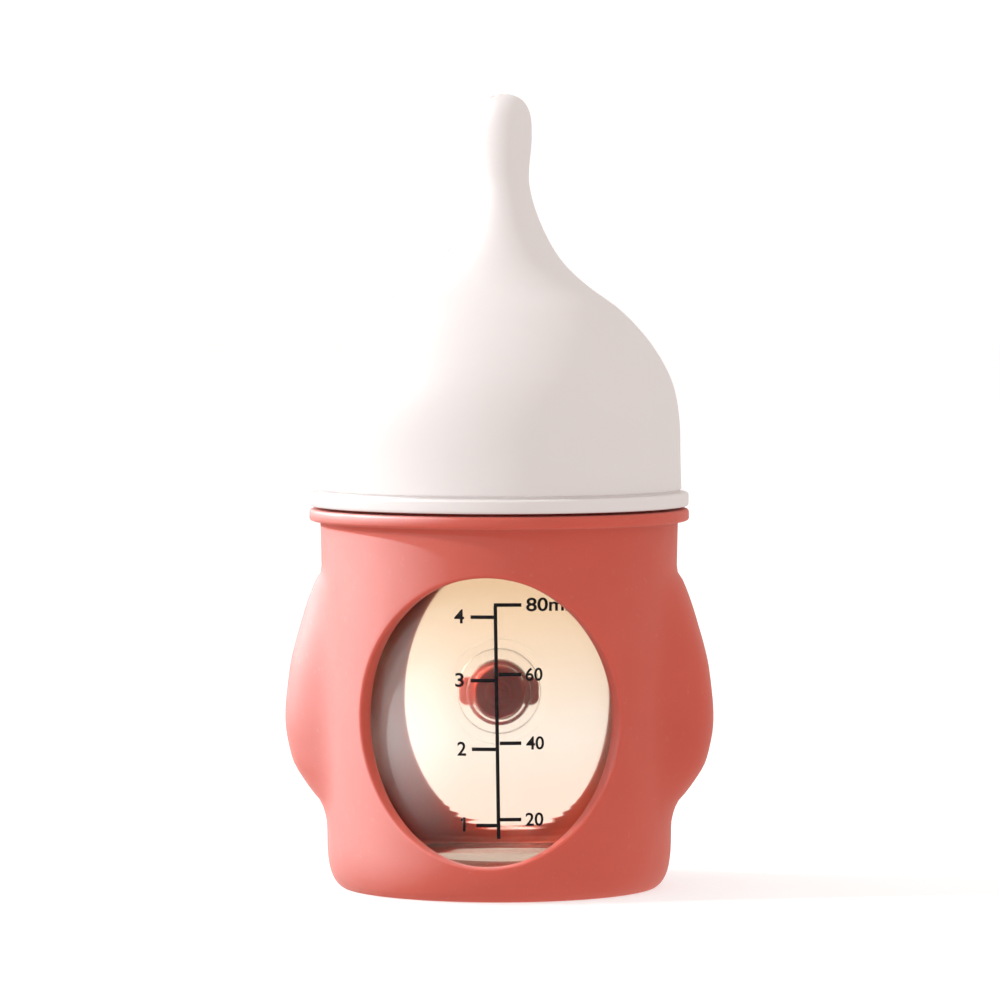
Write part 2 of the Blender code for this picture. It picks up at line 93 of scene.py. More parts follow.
# ---------------------------------------------------------------- curves and profiles
def blend(points, at):
    pts = sorted(points)
    xs = [p[0] for p in pts]
    ys = [p[1] for p in pts]
    if at <= xs[0]:
        return ys[0]
    if at >= xs[-1]:
        return ys[-1]
    step = [xs[i + 1] - xs[i] for i in range(len(xs) - 1)]
    rise = [(ys[i + 1] - ys[i]) / step[i] for i in range(len(step))]
    slope = [0.0] * len(xs)
    for i in range(1, len(xs) - 1):
        if rise[i - 1] * rise[i] > 0:
            a, b = 2 * step[i] + step[i - 1], step[i] + 2 * step[i - 1]
            slope[i] = (a + b) / (a / rise[i - 1] + b / rise[i])
    i = max(k for k in range(len(step)) if xs[k] <= at)
    t = (at - xs[i]) / step[i]
    return (ys[i] * (1 + 2 * t) * (1 - t) ** 2 + ys[i + 1] * t * t * (3 - 2 * t)
            + slope[i] * step[i] * t * (1 - t) ** 2 + slope[i + 1] * step[i] * t * t * (t - 1))


def through(points, per_span):
    pts = [Vector((*p, 0.0)) for p in points]
    pts = [2 * pts[0] - pts[1]] + pts + [2 * pts[-1] - pts[-2]]
    found = []
    for i in range(1, len(pts) - 2):
        a, b, c, d = pts[i - 1:i + 3]
        for k in range(per_span):
            t = k / per_span
            p = 0.5 * (2 * b + (c - a) * t + (2 * a - 5 * b + 4 * c - d) * t * t + (3 * b - a - 3 * c + d) * t ** 3)
            found.append((p.x, p.y))
    found.append(tuple(points[-1]))
    return found


def bend(start, pull, end, count):
    found = []
    for k in range(count + 1):
        t = k / count
        found.append(tuple(a * (1 - t) ** 2 + 2 * b * t * (1 - t) + c * t * t for a, b, c in zip(start, pull, end)))
    return found


def rounded(points, radius, steps=4):
    """The closed profile with each corner that has a radius rounded off. radius maps a point's index to mm."""
    found = []
    count = len(points)
    for i, p in enumerate(points):
        if i not in radius:
            found.append(p)
            continue
        here = Vector(p)
        before = Vector(points[i - 1]) - here
        after = Vector(points[(i + 1) % count]) - here
        r = min(radius[i], before.length * 0.49, after.length * 0.49)
        found += bend(tuple(here + before.normalized() * r), p, tuple(here + after.normalized() * r), steps)
    return found


def inwards(line, thick):
    found = []
    for i, p in enumerate(line):
        a = line[max(i - 1, 0)]
        b = line[min(i + 1, len(line) - 1)]
        dx, dz = b[0] - a[0], b[1] - a[1]
        size = math.hypot(dx, dz)
        found.append((p[0] - thick * dz / size, p[1] + thick * dx / size))
    return found


# ---------------------------------------------------------------- mesh makers
def to_object(shape, name, angle=40):
    bmesh.ops.remove_doubles(shape, verts=shape.verts, dist=0.0000005)
    shape.normal_update()
    bmesh.ops.recalc_face_normals(shape, faces=shape.faces)
    mesh = bpy.data.meshes.new(name)
    shape.to_mesh(mesh)
    shape.free()
    mesh.shade_smooth()
    if angle:
        mesh.set_sharp_from_angle(angle=math.radians(angle))
    obj = bpy.data.objects.new(name, mesh)
    bpy.context.scene.collection.objects.link(obj)
    return obj


def lathe(profile, steps, name, closed=True, wave=None, angle=40):
    """A body turned round Z. wave(r, z, turn) gives a changed (x, y, z)."""
    shape = bmesh.new()
    rows = []
    for r, z in profile:
        if r < 1e-6:
            rows.append([shape.verts.new((0, 0, z * MM))] * steps)
            continue
        row = []
        for k in range(steps):
            turn = math.tau * k / steps
            x, y, h = wave(r, z, turn) if wave else (r * math.cos(turn), r * math.sin(turn), z)
            row.append(shape.verts.new((x * MM, y * MM, h * MM)))
        rows.append(row)
    pairs = list(zip(rows, rows[1:]))
    if closed:
        pairs.append((rows[-1], rows[0]))
    for one, two in pairs:
        for k in range(steps):
            n = (k + 1) % steps
            corners = []
            for v in (one[k], two[k], two[n], one[n]):
                if v not in corners:
                    corners.append(v)
            if len(corners) > 2:
                shape.faces.new(corners)
    return to_object(shape, name, angle)


def port_cutter(name, profile, sides):
    """A body turned round the port's axis. profile is (radius, distance from the bottle's axis)."""
    obj = lathe(profile, sides, name, closed=False)
    obj.data.transform(Matrix.Translation((0, 0, PORT_Z * MM)) @ Matrix.Rotation(-math.pi / 2, 4, "X"))
    return obj


def rod(name, radius, start, end, sides):
    shape = bmesh.new()
    bmesh.ops.create_cone(shape, cap_ends=True, segments=sides, radius1=radius * MM, radius2=radius * MM,
                          depth=(end - start) * MM)
    bmesh.ops.rotate(shape, verts=shape.verts, cent=(0, 0, 0), matrix=Matrix.Rotation(-math.pi / 2, 3, "X"))
    bmesh.ops.translate(shape, verts=shape.verts, vec=(0, (start + end) / 2 * MM, PORT_Z * MM))
    return to_object(shape, name, 0)


def cut(obj, other, operation):
    """obj after the boolean, with the other piece used up."""
    mod = obj.modifiers.new(operation, "BOOLEAN")
    mod.operation = operation
    mod.object = other
    mod.solver = "EXACT"
    bpy.context.view_layer.update()
    graph = bpy.context.evaluated_depsgraph_get()
    made = bpy.data.meshes.new_from_object(obj.evaluated_get(graph))
    obj.modifiers.clear()
    obj.data = made
    bpy.data.objects.remove(other, do_unlink=True)
    return obj


def thread(name, radius, start, turns, turned=0.0):
    """A raised bead along a right-handed helix, thinner at both ends."""
    shape = bmesh.new()
    count = int(72 * turns)
    sides = 12
    rings = []
    for k in range(count + 1):
        t = k / count
        a = math.tau * turns * t + math.radians(turned)
        near_end = min(t, 1 - t) * turns / 0.07
        size = THREAD_BEAD * min(1.0, 0.3 + 0.7 * near_end)
        ring = []
        for j in range(sides):
            b = math.tau * j / sides
            r = radius + size * math.cos(b)
            z = start + THREAD_PITCH * turns * t + size * math.sin(b)
            ring.append(shape.verts.new((r * math.cos(a) * MM, r * math.sin(a) * MM, z * MM)))
        rings.append(ring)
    for one, two in zip(rings, rings[1:]):
        for j in range(sides):
            shape.faces.new((one[j], one[(j + 1) % sides], two[(j + 1) % sides], two[j]))
    shape.faces.new(rings[0])
    shape.faces.new(rings[-1])
    return to_object(shape, name, 50)


def turn_with_bottle(obj):
    obj.data.transform(Matrix.Rotation(math.radians(BOTTLE_TURN), 4, "Z"))
    return obj


# ---------------------------------------------------------------- materials
class Finish:
    """A Principled material with the node helpers that the finishes share."""

    def __init__(self, name):
        self.mat = bpy.data.materials.new(name)
        self.mat.use_nodes = True
        self.tree = self.mat.node_tree
        self.shader = self.tree.nodes["Principled BSDF"]
        self.where = self.tree.nodes.new("ShaderNodeTexCoord").outputs["Object"]

    def set(self, **values):
        for key, value in values.items():
            self.shader.inputs[key.replace("_", " ")].default_value = value
        return self

    def link(self, a, b):
        self.tree.links.new(a, b)

    def noise(self, scale, detail=4.0, rough=0.55, stretch=(1, 1, 1)):
        place = self.tree.nodes.new("ShaderNodeMapping")
        place.inputs["Scale"].default_value = stretch
        self.link(self.where, place.inputs["Vector"])
        node = self.tree.nodes.new("ShaderNodeTexNoise")
        node.inputs["Scale"].default_value = scale
        node.inputs["Detail"].default_value = detail
        node.inputs["Roughness"].default_value = rough
        self.link(place.outputs[0], node.inputs["Vector"])
        return node.outputs["Fac"]

    def spread(self, value, low, high, start=0.3, end=0.7):
        node = self.tree.nodes.new("ShaderNodeMapRange")
        node.inputs["From Min"].default_value = start
        node.inputs["From Max"].default_value = end
        node.inputs["To Min"].default_value = low
        node.inputs["To Max"].default_value = high
        self.link(value, node.inputs["Value"])
        return node.outputs["Result"]

    def mix(self, factor, one, two):
        node = self.tree.nodes.new("ShaderNodeMix")
        node.data_type = "RGBA"
        self.link(factor, node.inputs["Factor"])
        # the RGBA sockets of the Mix node come after its float and vector ones
        colours = [s for s in node.inputs if s.type == "RGBA"]
        for socket, value in zip(colours, (one, two)):
            if isinstance(value, tuple):
                socket.default_value = (*value, 1.0)
            else:
                self.link(value, socket)
        return next(s for s in node.outputs if s.type == "RGBA")

    def bump(self, layers):
        """Bump from (height, distance in mm, strength) layers."""
        normal = None
        for height, distance, strength in layers:
            node = self.tree.nodes.new("ShaderNodeBump")
            node.inputs["Distance"].default_value = distance * MM
            node.inputs["Strength"].default_value = strength
            self.link(height, node.inputs["Height"])
            if normal is not None:
                self.link(normal, node.inputs["Normal"])
            normal = node.outputs["Normal"]
        self.link(normal, self.shader.inputs["Normal"])
        return self


def silicone(name, light, deep, roughness, sheen, shine=0.5):
    f = Finish(name)
    cloud = f.noise(55, 3)
    grain = f.noise(3800, 2)
    dust = f.noise(900, 6, 0.7)
    colour = f.mix(f.spread(cloud, 0, 1), deep, light)
    pale = tuple(min(1.0, c * 0.7 + 0.3) for c in light)
    colour = f.mix(f.spread(dust, 0.0, 0.16, 0.6, 0.78), colour, pale)
    f.link(colour, f.shader.inputs["Base Color"])
    f.link(f.spread(f.noise(160, 5), roughness - 0.05, roughness + 0.07), f.shader.inputs["Roughness"])
    f.set(Subsurface_Weight=0.35, Subsurface_Radius=(1.0, 0.35, 0.25), Subsurface_Scale=0.0025, IOR=1.43,
          Sheen_Weight=sheen, Sheen_Roughness=0.45, Sheen_Tint=(1.0, 0.93, 0.9, 1.0), Specular_IOR_Level=shine)
    f.bump([(grain, 0.02, 0.35), (f.noise(240, 3), 0.06, 0.22)])
    return f.mat


def moulded_plastic(name, light, deep, roughness):
    f = Finish(name)
    colour = f.mix(f.spread(f.noise(40, 3), 0, 1), deep, light)
    f.link(colour, f.shader.inputs["Base Color"])
    f.link(f.spread(f.noise(210, 6, 0.65), roughness - 0.06, roughness + 0.08), f.shader.inputs["Roughness"])
    f.set(IOR=1.49, Specular_IOR_Level=0.05, Subsurface_Weight=0.15, Subsurface_Radius=(1.0, 0.85, 0.75), Subsurface_Scale=0.0018)
    spark = f.noise(5200, 2)
    scuff = f.noise(700, 5, 0.7, (1, 1, 0.12))
    f.bump([(spark, 0.012, 0.4), (f.spread(scuff, 0, 1, 0.55, 0.8), 0.01, 0.25), (f.noise(90, 2), 0.08, 0.12)])
    return f.mat


def clear_plastic(name, tint, stops):
    """Clear plastic whose colour is ramped with height: palest about 25 mm up, darker and more amber towards the top.
    stops are (height in mm, colour).
    """
    f = Finish(name)
    f.set(IOR=1.52, Transmission_Weight=1.0, Specular_Tint=(0.06, 0.04, 0.04, 1.0))
    up = f.tree.nodes.new("ShaderNodeSeparateXYZ")
    f.link(f.where, up.inputs[0])
    ramp = f.tree.nodes.new("ShaderNodeValToRGB")
    f.link(f.spread(up.outputs["Z"], 0.0, 1.0, stops[0][0] * MM, stops[-1][0] * MM), ramp.inputs["Fac"])
    places = ramp.color_ramp.elements
    for k, (height, colour) in enumerate(stops):
        at = (height - stops[0][0]) / (stops[-1][0] - stops[0][0])
        stop = places[0] if k == 0 else places[-1] if k == len(stops) - 1 else places.new(at)
        stop.position = at
        stop.color = (*colour, 1.0)
    f.link(ramp.outputs["Color"], f.shader.inputs["Base Color"])
    # a faint matt bloom on the surface; its fading near the foot is painted shade, for the shade the grip casts on the
    # lower wall
    bloom_with_painted_shade = f.spread(up.outputs["Z"], 0.14, 1.0, 0.0095, 0.024)
    f.link(bloom_with_painted_shade, f.shader.inputs["Coat Weight"])
    f.set(Coat_Roughness=0.44, Coat_IOR=1.5)
    haze = f.noise(130, 5, 0.6)
    f.link(f.spread(haze, 0.025, 0.075, 0.35, 0.75), f.shader.inputs["Roughness"])
    flow = f.noise(26, 2, 0.5, (1, 1, 0.35))
    # fine mould rings round the lowest part of the wall
    rings = f.tree.nodes.new("ShaderNodeTexWave")
    rings.wave_type = "BANDS"
    rings.bands_direction = "Z"
    rings.inputs["Scale"].default_value = 330
    rings.inputs["Distortion"].default_value = 0.6
    f.link(f.where, rings.inputs["Vector"])
    split = f.tree.nodes.new("ShaderNodeSeparateXYZ")
    f.link(f.where, split.inputs[0])
    low = f.spread(split.outputs["Z"], 1.0, 0.0, 0.011, 0.0165)
    ringed = f.tree.nodes.new("ShaderNodeMath")
    ringed.operation = "MULTIPLY"
    f.link(rings.outputs["Fac"], ringed.inputs[0])
    f.link(low, ringed.inputs[1])
    f.bump([(flow, 0.5, 0.05), (ringed.outputs[0], 0.02, 0.45), (f.noise(900, 4, 0.6, (1, 1, 0.2)), 0.01, 0.12)])
    # light from lamps goes straight through to what is behind
    path = f.tree.nodes.new("ShaderNodeLightPath")
    clear = f.tree.nodes.new("ShaderNodeBsdfTransparent")
    # less of it where it strikes the wall at a shallow angle
    slant = f.tree.nodes.new("ShaderNodeLayerWeight")
    slant.inputs["Blend"].default_value = 0.5
    shallow = f.spread(slant.outputs["Facing"], 0.0, 1.0, 0.1, 0.8)
    f.link(f.mix(shallow, tint, (0.03, 0.02, 0.02)), clear.inputs["Color"])
    both = f.tree.nodes.new("ShaderNodeMixShader")
    f.link(path.outputs["Is Shadow Ray"], both.inputs[0])
    f.link(f.shader.outputs[0], both.inputs[1])
    f.link(clear.outputs[0], both.inputs[2])
    f.link(both.outputs[0], f.tree.nodes["Material Output"].inputs["Surface"])
    return f.mat


def ink(name):
    f = Finish(name)
    colour = f.mix(f.spread(f.noise(1500, 4), 0, 1), (0.008, 0.007, 0.008), (0.02, 0.018, 0.02))
    f.link(colour, f.shader.inputs["Base Color"])
    f.link(f.spread(f.noise(2600, 3), 0.55, 0.75), f.shader.inputs["Roughness"])
    f.set(Specular_IOR_Level=0.03)
    f.bump([(f.noise(4200, 2), 0.01, 0.3)])
    return f.mat


def milky(name):
    f = Finish(name)
    colour = f.mix(f.spread(f.noise(60, 3), 0, 1), (0.82, 0.79, 0.75), (0.90, 0.87, 0.84))
    f.link(colour, f.shader.inputs["Base Color"])
    f.link(f.spread(f.noise(300, 4), 0.26, 0.4), f.shader.inputs["Roughness"])
    f.set(IOR=1.42, Specular_IOR_Level=0.12, Subsurface_Weight=0.6, Subsurface_Radius=(1.0, 0.9, 0.8),
          Subsurface_Scale=0.0025)
    f.bump([(f.noise(2600, 2), 0.015, 0.3), (f.noise(120, 3), 0.08, 0.15)])
    return f.mat


CORAL = silicone("coral_silicone", (0.65, 0.118, 0.083), (0.61, 0.107, 0.075), 0.66, 0.15, 0.32)
# painted shade: the plug is the same coral silicone as the sleeve, given a darker, deeper colour for the shade it sits
# in
PLUG_CORAL_PAINTED_SHADE = silicone("plug_silicone", (0.42, 0.042, 0.025), (0.37, 0.037, 0.021), 0.6, 0.0, 0.05)
CLEAR = clear_plastic("clear_plastic", (0.95, 0.87, 0.80),
                      ((13, (0.92, 0.82, 0.745)), (25, (0.945, 0.885, 0.82)), (41, (0.92, 0.80, 0.665)),
                       (49, (0.885, 0.735, 0.57))))
WHITE = moulded_plastic("white_plastic", (0.835, 0.802, 0.80), (0.815, 0.782, 0.78), 0.55)
COLLAR_WHITE = moulded_plastic("collar_plastic", (0.87, 0.85, 0.84), (0.85, 0.83, 0.82), 0.42)
MILKY = milky("milky_silicone")
INK = ink("scale_ink")


def dress(obj, mat, body, slot, *nodes):
    obj.data.materials.clear()
    obj.data.materials.append(mat)
    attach(obj, body)
    if nodes:
        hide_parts(*nodes)
    return obj


# ---------------------------------------------------------------- sleeve
def heel_r(z):
    """Outer radius of the rounded corner under SLEEVE_LOW_Z."""
    t = (9.6 - math.sqrt(max(0.0, 92.16 - 14.4 * (SLEEVE_LOW_Z - z)))) / 7.2
    return SLEEVE_R_LOW * (1 - t) ** 2 + 2 * 27.2 * t * (1 - t) + FOOT_R * t * t


def plain_r(z):
    if z < SLEEVE_LOW_Z:
        return heel_r(z)
    return SLEEVE_R_LOW + (SLEEVE_R_TOP - SLEEVE_R_LOW) * (z - SLEEVE_LOW_Z) / (FLANGE_UNDER - 1.0 - SLEEVE_LOW_Z)


BORE_TOP = SLEEVE_R_TOP - SLEEVE_WALL
BORE_LOW = SLEEVE_R_LOW - SLEEVE_WALL
INNER_HEEL = bend((FOOT_R - SLEEVE_WALL - 1.6, BASE_LIP), (BORE_LOW - 0.15, BASE_LIP + 0.5), (BORE_LOW, 7.2), 40)


def bore_r(z):
    if z < 7.2:
        for a, b in zip(INNER_HEEL, INNER_HEEL[1:]):
            if a[1] <= z <= b[1]:
                return a[0] + (b[0] - a[0]) * (z - a[1]) / max(1e-9, b[1] - a[1])
        return INNER_HEEL[0][0]
    return BORE_LOW + (BORE_TOP - BORE_LOW) * (z - 7.2) / (FLANGE_UNDER - 1.0 - 7.2)


def make_sleeve():
    columns = 180
    rows = 44
    z_low, z_high = 3.2, 54.6
    heights = [z_low + (z_high - z_low) * k / rows for k in range(rows + 1)]
    shape = bmesh.new()
    cache = {}

    def height_of_grip(z):
        key = round(z, 4)
        if key not in cache:
            cache[key] = blend(GRIP_CREST, z)
        return cache[key]

    def place(turn, z, depth):
        """turn in degrees round from the front (-Y) towards +X. depth 0 is the outer face and 1 the bore."""
        off = abs((turn + 180) % 180 - 90)
        outer = plain_r(z) + height_of_grip(z) * math.exp(-(off / GRIP_SPREAD) ** GRIP_SHAPE)
        r = outer + (bore_r(z) - outer) * depth
        a = math.radians(turn)
        return shape.verts.new((r * math.sin(a) * MM, -r * math.cos(a) * MM, z * MM))

    patches = []
    for window, middle, half in ((FRONT_WINDOW, 0, 30), (BACK_WINDOW, 90, 26)):
        patches.append((window, middle, half))

    def inside(k):
        """The patch that the cell between columns k and k + 1 lies in."""
        for p in patches:
            d = (k - p[1] + 90) % 180 - 90
            if -p[2] <= d < p[2]:
                return p
        return None

    def degrees(k):
        return 360.0 * k / columns

    sheets = []
    for depth in (0.0, 1.0):
        grid = {}
        for k in range(columns):
            d = [((k - p[1] + 90) % 180 - 90, p[2]) for p in patches]
            hidden = any(-h < v < h for v, h in d)
            for j, z in enumerate(heights):
                if hidden and 0 < j < rows:
                    continue
                grid[k, j] = place(degrees(k), z, depth)
        for k in range(columns):
            if inside(k):
                continue
            n = (k + 1) % columns
            for j in range(rows):
                shape.faces.new((grid[k, j], grid[n, j], grid[n, j + 1], grid[k, j + 1]))
        sheets.append(grid)

    soft = 0.5                 # radius of the windows' outer lip
    lip = [(soft, 0.0), (0.35, 0.02), (0.21, 0.09), (0.1, 0.18), (0.03, 0.3), (0.0, 0.48), (0.0, 1.1), (0.0, 1.7),
           (0.05, 1.95), (0.17, 2.12), (0.4, 2.2)]
    for (half_width, half_height, centre), middle, half in patches:
        edge = [(k, 0) for k in range(-half, half)] + [(half, j) for j in range(rows)]
        edge += [(k, rows) for k in range(half, -half, -1)] + [(-half, j) for j in range(rows, 0, -1)]
        around = []
        for k, j in edge:
            turn = 360.0 * k / columns
            z = heights[j]
            span = 360.0 * half / columns
            z_mid = (z_low + z_high) / 2
            way = math.atan2((z - z_mid) / ((z_high - z_low) / 2), turn / span)
            win_z = centre + half_height * math.sin(way)
            win_turn = math.degrees(math.asin(half_width * math.cos(way) / plain_r(win_z)))
            across = math.radians(turn - win_turn) * 28.0
            up = z - win_z
            around.append((k, j, win_turn, win_z, across, up, math.hypot(across, up)))
        rings = []

        def ring(offset_of, depth_mm):
            line = []
            for k, j, win_turn, win_z, across, up, size in around:
                share = offset_of(size) / size
                z = win_z + up * share
                turn = win_turn + math.degrees(across * share / 28.0)
                line.append(place(turn + degrees(middle), z, depth_mm / SLEEVE_WALL))
            return line

        def outer_ring(depth_grid):
            return [depth_grid[(k + middle) % columns, j] for k, j, *_ in around]

        rings.append(outer_ring(sheets[0]))
        for share in (0.72, 0.48, 0.29, 0.15, 0.06):
            rings.append(ring(lambda size, s=share: soft + (size - soft) * s, 0.0))
        for e, depth in lip:
            rings.append(ring(lambda size, e=e: e, depth))
        for share in (0.1, 0.25, 0.5, 0.75):
            rings.append(ring(lambda size, s=share: 0.4 + (size - 0.4) * s, SLEEVE_WALL))
        rings.append(outer_ring(sheets[1]))
        count = len(around)
        for one, two in zip(rings, rings[1:]):
            for i in range(count):
                n = (i + 1) % count
                shape.faces.new((one[i], one[n], two[n], two[i]))

    def band(points, first, last):
        """Rings of (r, z) points between two rows that exist."""
        rings = [first]
        for r, z in points:
            rings.append([shape.verts.new((r * math.sin(math.radians(degrees(k))) * MM,
                                           -r * math.cos(math.radians(degrees(k))) * MM, z * MM))
                          for k in range(columns)])
        rings.append(last)
        for one, two in zip(rings, rings[1:]):
            for k in range(columns):
                n = (k + 1) % columns
                shape.faces.new((one[k], one[n], two[n], two[k]))

    top, under, flat, lip_r = SLEEVE_TOP, FLANGE_UNDER, FLANGE_TOP, INNER_LIP_R
    flange = [(plain_r(55.9), 55.9), (SLEEVE_R_TOP, under - 1.2), (28.45, under - 0.45), (28.55, under - 0.18),
              (28.8, under - 0.05), (29.3, under), (29.75, under + 0.02), (30.02, under + 0.13),
              (FLANGE_R, under + 0.4), (FLANGE_R, under + 1.0), (FLANGE_R, flat - 0.45), (30.12, flat - 0.22),
              (29.95, flat - 0.07), (29.7, flat), (28.2, flat), (lip_r + 0.25, flat), (lip_r + 0.03, flat + 0.08),
              (lip_r, flat + 0.25), (lip_r, top - 0.2), (lip_r - 0.08, top - 0.06), (lip_r - 0.25, top),
              (BORE_TOP + 0.28, top), (BORE_TOP + 0.08, top - 0.07), (BORE_TOP, top - 0.25), (BORE_TOP, 59.0),
              (bore_r(56.4), 56.4)]
    band(flange, [sheets[0][k, rows] for k in range(columns)], [sheets[1][k, rows] for k in range(columns)])
    foot = [(heel_r(z), z) for z in (2.4, 1.7, 1.1, 0.6, 0.25, 0.06)]
    foot += [(FOOT_R, 0.0), (23.0, 0.0), (18.0, 0.0), (DRAIN_R + 0.4, 0.0), (DRAIN_R + 0.12, 0.1),
             (DRAIN_R, 0.35), (DRAIN_R, 1.25), (DRAIN_R + 0.12, 1.5), (DRAIN_R + 0.4, BASE_LIP), (17.0, BASE_LIP)]
    foot += [p for p in INNER_HEEL[::4] if p[1] < 3.0]
    band(foot, [sheets[0][k, 0] for k in range(columns)], [sheets[1][k, 0] for k in range(columns)])
    return to_object(shape, "sleeve_skin", 50)


sleeve = dress(make_sleeve(), CORAL, "sleeve", "coral_silicone", "silicone_sleeve")


# ---------------------------------------------------------------- bottle
def bottle_r(z):
    """Outer radius of the bottle's straight side."""
    low_z, high_z = 7.4, 57.6
    return BOTTLE_R_LOW + (BOTTLE_R_TOP - BOTTLE_R_LOW) * (z - low_z) / (high_z - low_z)


def make_bottle():
    base = BOTTLE_BASE
    outer = [(0.0, LIP_TOP + 0.0), (NECK_R - 0.4, LIP_TOP), (NECK_R - 0.1, LIP_TOP - 0.12), (NECK_R, LIP_TOP - 0.45),
             (NECK_R, 66.0), (NECK_R, 61.6)]
    outer += bend((NECK_R, 60.9), (NECK_R + 0.3, 60.0), (NECK_R + 1.2, 59.7), 5)
    outer += bend((BOTTLE_R_TOP - 1.5, 59.6), (BOTTLE_R_TOP, 59.3), (BOTTLE_R_TOP, 57.6), 8)
    outer += [(bottle_r(z), z) for z in (50.0, 42.0, 34.0, 26.0, 18.0, 11.0)]
    outer += bend((BOTTLE_R_LOW, 7.4), (BOTTLE_R_LOW - 0.15, base + 0.5), (FOOT_R - 4.2, base), 14)
    outer += bend((FOOT_R - 5.4, base), (10.0, base + 0.7), (0.0, base + 0.8), 6)
    body = lathe(outer, 144, "bottle", closed=False)

    top, low, wall, floor = BOTTLE_R_TOP, BOTTLE_R_LOW, BOTTLE_WALL, base + BOTTLE_FLOOR
    inner = [(0.0, LIP_TOP + 4), (MOUTH_R, LIP_TOP + 4), (MOUTH_R, 66.0), (MOUTH_R, 61.4)]
    inner += bend((MOUTH_R, 60.0), (MOUTH_R + 0.4, 58.0), (MOUTH_R + 1.9, 57.5), 6)
    inner += bend((top - wall - 0.7, 57.0), (top - wall, 56.6), (top - wall, 55.0), 6)
    inner += [(bottle_r(z) - wall, z) for z in (48.0, 40.0, 32.0, 24.0, 16.0, 12.0)]
    inner += bend((low - wall, 9.0), (low - wall - 0.2, floor + 0.4), (FOOT_R - 6.6, floor), 14)
    inner += bend((FOOT_R - 7.6, floor), (9.0, floor + 0.6), (0.0, floor + 0.7), 6)
    hollow = lathe(inner, 144, "hollow", closed=False)
    cut(hollow, rod("boss", 8.6, POCKET_FLOOR - 1.6, 32.0, 72), "DIFFERENCE")
    r, at = PORT_RING_R, PORT_RING_IN
    ring = [(0.0, at)] + bend((r - 0.55, at), (r, at), (r, at + 0.6), 6) + [(r, 30.0), (0.0, 30.0)]
    cut(hollow, port_cutter("ring", ring, 96), "DIFFERENCE")
    cut(body, thread("neck_thread", NECK_R + 0.05, THREAD_START, THREAD_TURNS), "UNION")
    cut(body, hollow, "DIFFERENCE")
    r = POCKET_R
    pocket = [(0.0, POCKET_FLOOR)] + bend((r - 0.2, POCKET_FLOOR), (r, POCKET_FLOOR), (r, POCKET_FLOOR + 0.2), 4)
    pocket += [(r, 32.0), (0.0, 32.0)]
    cut(body, port_cutter("pocket", pocket, 96), "DIFFERENCE")
    r = PORT_HOLE_R
    hole = [(0.0, 14.0), (r + 0.35, 14.0), (r + 0.35, at)] + bend((r + 0.3, at + 0.02), (r, at + 0.05), (r, at + 0.35), 4)
    hole += [(r, 31.0), (0.0, 31.0)]
    cut(body, port_cutter("hole", hole, 96), "DIFFERENCE")
    body.data.shade_smooth()
    body.data.set_sharp_from_angle(angle=math.radians(40))
    return turn_with_bottle(body)


bottle = dress(make_bottle(), CLEAR, "bottle", "clear_plastic", "bottle_body")


# ---------------------------------------------------------------- printed scale
def skew(z):
    """The scale leans a little: its offset round the bottle at this height."""
    return -0.65 + 0.54 * (46.4 - z) / 36.5


def wrapped(across, z, lift):
    """A point of the printed scale: across is mm round the bottle from its front, lift mm off its surface."""
    r = bottle_r(z) + lift
    a = across / bottle_r(z)
    return (r * math.sin(a) * MM, -r * math.cos(a) * MM, z * MM)


INK_LOW, INK_HIGH = 0.02, 0.055


def bar(left, right, low, high, lean):
    """One printed bar as a thin closed slab that follows the bottle's side."""
    shape = bmesh.new()
    across_count = max(1, int(math.ceil((right - left) / 0.6)))
    up_count = max(1, int(math.ceil((high - low) / 1.5)))
    levels = []
    for lift in (INK_LOW, INK_HIGH):
        grid = []
        for i in range(across_count + 1):
            s = left + (right - left) * i / across_count
            line = []
            for j in range(up_count + 1):
                z = low + (high - low) * j / up_count
                line.append(shape.verts.new(wrapped(s + (skew(z) if lean else 0.0), z, lift)))
            grid.append(line)
        levels.append(grid)
    under, over = levels
    for i in range(across_count):
        for j in range(up_count):
            for g in levels:
                shape.faces.new((g[i][j], g[i + 1][j], g[i + 1][j + 1], g[i][j + 1]))
    for i in range(across_count):
        for j in (0, up_count):
            shape.faces.new((under[i][j], under[i + 1][j], over[i + 1][j], over[i][j]))
    for j in range(up_count):
        for i in (0, across_count):
            shape.faces.new((under[i][j], under[i][j + 1], over[i][j + 1], over[i][j]))
    return to_object(shape, "bar", 0)


def label(text, left, right, middle, height):
    """Printed figures between left and right, centred on a height."""
    curve = bpy.data.curves.new("figures", "FONT")
    curve.body = text
    curve.resolution_u = 6
    curve.extrude = 0.5
    curve.offset = 0.018
    obj = bpy.data.objects.new("figures", curve)
    bpy.context.scene.collection.objects.link(obj)
    bpy.context.view_layer.update()
    graph = bpy.context.evaluated_depsgraph_get()
    mesh = bpy.data.meshes.new_from_object(obj.evaluated_get(graph))
    bpy.data.objects.remove(obj, do_unlink=True)
    shape = bmesh.new()
    shape.from_mesh(mesh)
    bmesh.ops.remove_doubles(shape, verts=shape.verts, dist=0.0001)
    xs = [v.co.x for v in shape.verts]
    ys = [v.co.y for v in shape.verts]
    for v in shape.verts:
        s = left + (right - left) * (v.co.x - min(xs)) / (max(xs) - min(xs))
        z = middle + height * ((v.co.y - min(ys)) / (max(ys) - min(ys)) - 0.5)
        v.co = wrapped(s, z, INK_HIGH if v.co.z > 0 else INK_LOW)
    return to_object(shape, "figures", 30)


def join(objs, name):
    shape = bmesh.new()
    for o in objs:
        shape.from_mesh(o.data)
        bpy.data.objects.remove(o, do_unlink=True)
    mesh = bpy.data.meshes.new(name)
    shape.to_mesh(mesh)
    shape.free()
    obj = bpy.data.objects.new(name, mesh)
    bpy.context.scene.collection.objects.link(obj)
    return obj


